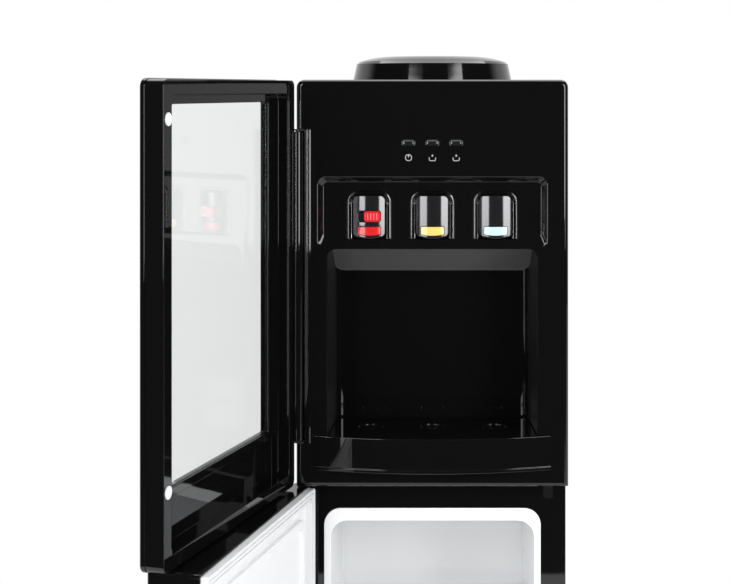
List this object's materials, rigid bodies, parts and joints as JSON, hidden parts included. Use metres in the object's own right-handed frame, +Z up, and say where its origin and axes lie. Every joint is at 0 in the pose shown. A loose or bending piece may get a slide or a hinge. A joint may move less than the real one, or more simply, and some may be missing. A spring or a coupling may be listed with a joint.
{
  "type": "water cooler",
  "caption": "Free-standing water cooler with a bottle seat on top, three press taps over a niche, a glazed upper door and a small chilled cabinet with its own door.",
  "frame": {"origin": "on the floor under the middle of the body, where the plinth rests", "axes": "+X to the viewer's right, +Y away from the viewer towards the back, +Z up"},
  "size_m": [0.4419, 0.6387, 0.9803],
  "materials": {
    "gloss_black": "polished piano black moulding",
    "door_black": "polished black door moulding",
    "casing_black": "black powder coat on steel sheet",
    "base_black": "fine grained black base",
    "liner_white": "white thermoformed liner",
    "gasket_white": "soft white door seal",
    "foam_cream": "rigid insulating foam",
    "window_glass": "clear pane",
    "bumper_white": "white magnet cover",
    "lever_smoke": "smoked mirror finish lever",
    "hot_red": "red",
    "warm_amber": "amber",
    "cold_blue": "pale blue",
    "lens_dark": "smoked indicator lens",
    "board_green": "circuit board",
    "steel_bright": "stainless steel",
    "zinc_steel": "zinc plated sheet",
    "chrome_wire": "plated wire",
    "black_enamel": "black enamel",
    "seat_gloss": "polished black seat",
    "probe_white": "white moulding",
    "seal_grey": "silicone",
    "hose_milk": "silicone hose",
    "copper": "copper",
    "rubber_black": "black rubber",
    "switch_red": "red rocker",
    "switch_green": "green rocker"
  },
  "bodies": {
    "casing": {"base_plinth": "base_black", "side_panel_left": "casing_black", "side_panel_right": "casing_black", "rear_panel": "casing_black", "top_cover": "gloss_black", "cabinet_liner": "liner_white", "cabinet_frame": "gloss_black", "cabinet_foam": "foam_cream", "mid_deck": "zinc_steel", "front_bezel": "gloss_black", "niche_liner": "gloss_black", "indicator_lenses": "lens_dark", "indicator_board": "board_green", "tap_hot": "gloss_black", "tap_warm": "gloss_black", "tap_cold": "gloss_black", "upper_hinge_brackets": "black_enamel", "lower_hinge_pins": "steel_bright", "door_catch": "steel_bright", "cold_tank": "steel_bright", "cold_tank_foam": "foam_cream", "seat_seal": "seal_grey", "tank_shelf": "zinc_steel", "hot_tank": "steel_bright", "heater_band": "steel_bright", "hose_cold": "hose_milk", "hose_warm": "hose_milk", "hose_hot": "hose_milk", "hose_feed": "hose_milk", "control_board": "board_green", "switch_housings": "rubber_black", "compressor": "black_enamel", "compressor_feet": "rubber_black", "condenser": "black_enamel", "filter_dryer": "copper", "drain_spout": "probe_white", "cord_inlet": "rubber_black"},
    "upper_door": {"upper_door_panel": "door_black", "upper_door_frame": "door_black", "upper_door_glass": "window_glass", "door_bumpers": "bumper_white"},
    "lower_door": {"lower_door_shell": "door_black", "lower_door_foam": "foam_cream", "lower_door_liner": "liner_white", "lower_door_gasket": "gasket_white"},
    "hot_lever": {"paddle_hot": "lever_smoke", "strip_hot": "hot_red"},
    "warm_lever": {"paddle_warm": "lever_smoke", "strip_warm": "warm_amber"},
    "cold_lever": {"paddle_cold": "lever_smoke", "strip_cold": "cold_blue"},
    "lock_slider": {"child_lock": "hot_red"},
    "tray": {"drip_tray": "gloss_black"},
    "tray_plate": {"drip_plate": "gloss_black"},
    "seat": {"bottle_seat": "seat_gloss", "bottle_probe": "probe_white"},
    "rack": {"wire_rack": "chrome_wire"},
    "hot_switch": {"switch_hot": "switch_red"},
    "cold_switch": {"switch_cold": "switch_green"},
    "spout_cap": {"drain_cap": "seal_grey"}
  },
  "joints": [
    {"name": "upper_door_hinge", "type": "hinge", "parent": "casing", "child": "upper_door", "pos_m": [-0.1586, -0.1668, 0.7], "axis": [0, 0, -1], "range_deg": [-107.35, 12]},
    {"name": "lower_door_hinge", "type": "hinge", "parent": "casing", "child": "lower_door", "pos_m": [-0.1555, -0.1512, 0.26], "axis": [0, 0, -1], "range_deg": [-104.4, 15]},
    {"name": "hot_lever_press", "type": "hinge", "parent": "casing", "child": "hot_lever", "pos_m": [-0.0744, -0.1645, 0.8066], "axis": [1, 0, 0], "range_deg": [0, 7], "stiffness_Nm_per_rad": 0.3, "springref_deg": -8.59},
    {"name": "warm_lever_press", "type": "hinge", "parent": "casing", "child": "warm_lever", "pos_m": [0, -0.1645, 0.8066], "axis": [1, 0, 0], "range_deg": [0, 7], "stiffness_Nm_per_rad": 0.3, "springref_deg": -8.59},
    {"name": "cold_lever_press", "type": "hinge", "parent": "casing", "child": "cold_lever", "pos_m": [0.0744, -0.1645, 0.8066], "axis": [1, 0, 0], "range_deg": [0, 7], "stiffness_Nm_per_rad": 0.3, "springref_deg": -8.59},
    {"name": "child_lock_slide", "type": "slide", "parent": "hot_lever", "child": "lock_slider", "axis": [-1, 0, 0], "range_m": [0, 0.0076]},
    {"name": "drip_tray_pull", "type": "slide", "parent": "casing", "child": "tray", "axis": [0, -1, 0], "range_m": [0, 0.095]},
    {"name": "drip_plate_lift", "type": "slide", "parent": "tray", "child": "tray_plate", "axis": [0, 0, 1], "range_m": [0, 0.025]},
    {"name": "bottle_seat_lift", "type": "slide", "parent": "casing", "child": "seat", "axis": [0, 0, 1], "range_m": [0, 0.06]},
    {"name": "rack_pull", "type": "slide", "parent": "casing", "child": "rack", "axis": [0, -1, 0], "range_m": [0, 0.15]},
    {"name": "hot_switch_rock", "type": "hinge", "parent": "casing", "child": "hot_switch", "pos_m": [-0.018, 0.153, 0.86], "axis": [1, 0, 0], "range_deg": [-9, 9]},
    {"name": "cold_switch_rock", "type": "hinge", "parent": "casing", "child": "cold_switch", "pos_m": [0.018, 0.153, 0.86], "axis": [1, 0, 0], "range_deg": [-9, 9]},
    {"name": "spout_cap_pull", "type": "slide", "parent": "casing", "child": "spout_cap", "axis": [0, 1, 0], "range_m": [0, 0.02]}
  ]
}
